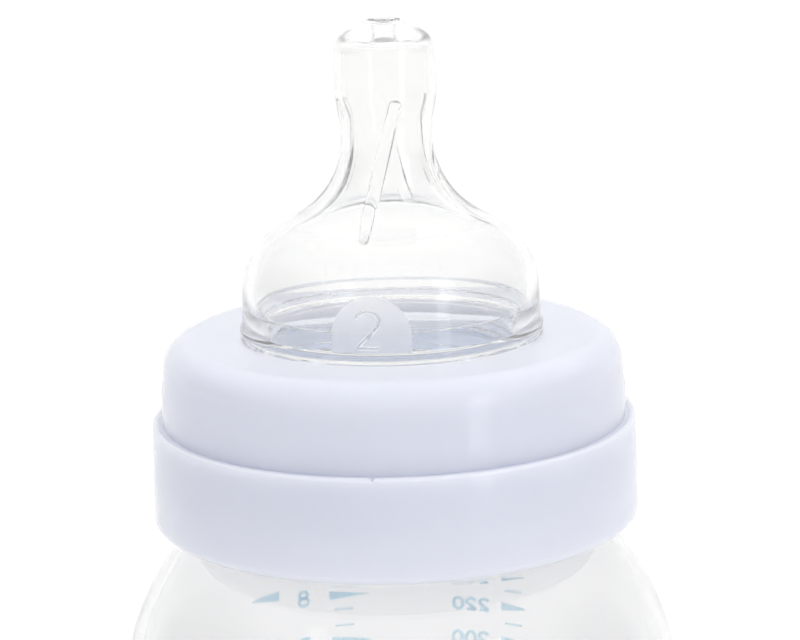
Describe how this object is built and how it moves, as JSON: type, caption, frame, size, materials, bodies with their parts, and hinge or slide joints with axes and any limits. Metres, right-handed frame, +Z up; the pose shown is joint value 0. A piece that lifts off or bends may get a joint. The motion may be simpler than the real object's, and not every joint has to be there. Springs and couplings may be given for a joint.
{
  "type": "baby bottle",
  "caption": "Wide-neck feeding bottle: a clear waisted bottle with a scale, a two-tier screw ring and a soft teat that unscrew and lift off together.",
  "frame": {"origin": "centre of the base, on the surface that the bottle stands on", "axes": "+Z up along the bottle's axis; the teat's flow mark and the ring's nick face -Y"},
  "size_m": [0.073, 0.073, 0.1673],
  "materials": {
    "clear_plastic": "clear, glossy, with a pale blue printed scale",
    "lilac_plastic": "opaque pale lilac-blue, smooth and glossy",
    "silicone": "clear soft silicone, smooth, with one frosted flow mark",
    "scale_ink": "pale blue printing ink on the back of the bottle"
  },
  "bodies": {
    "bottle": {"bottle": "clear_plastic"},
    "teat": {"teat": "silicone"},
    "screw_ring": {"screw_ring": "lilac_plastic"}
  },
  "joints": [
    {"name": "head_lift", "type": "slide", "parent": "bottle", "child": "teat", "axis": [0, 0, 1], "range_m": [0, 0.0241]},
    {"name": "ring_turn", "type": "hinge", "parent": "teat", "child": "screw_ring", "pos_m": [0, 0, 0.115], "axis": [0, 0, 1], "range_deg": [0, 1080]}
  ],
  "couplings": [
    {"joint": "head_lift", "follows": "ring_turn", "m_per_rad": 0.0012732}
  ]
}
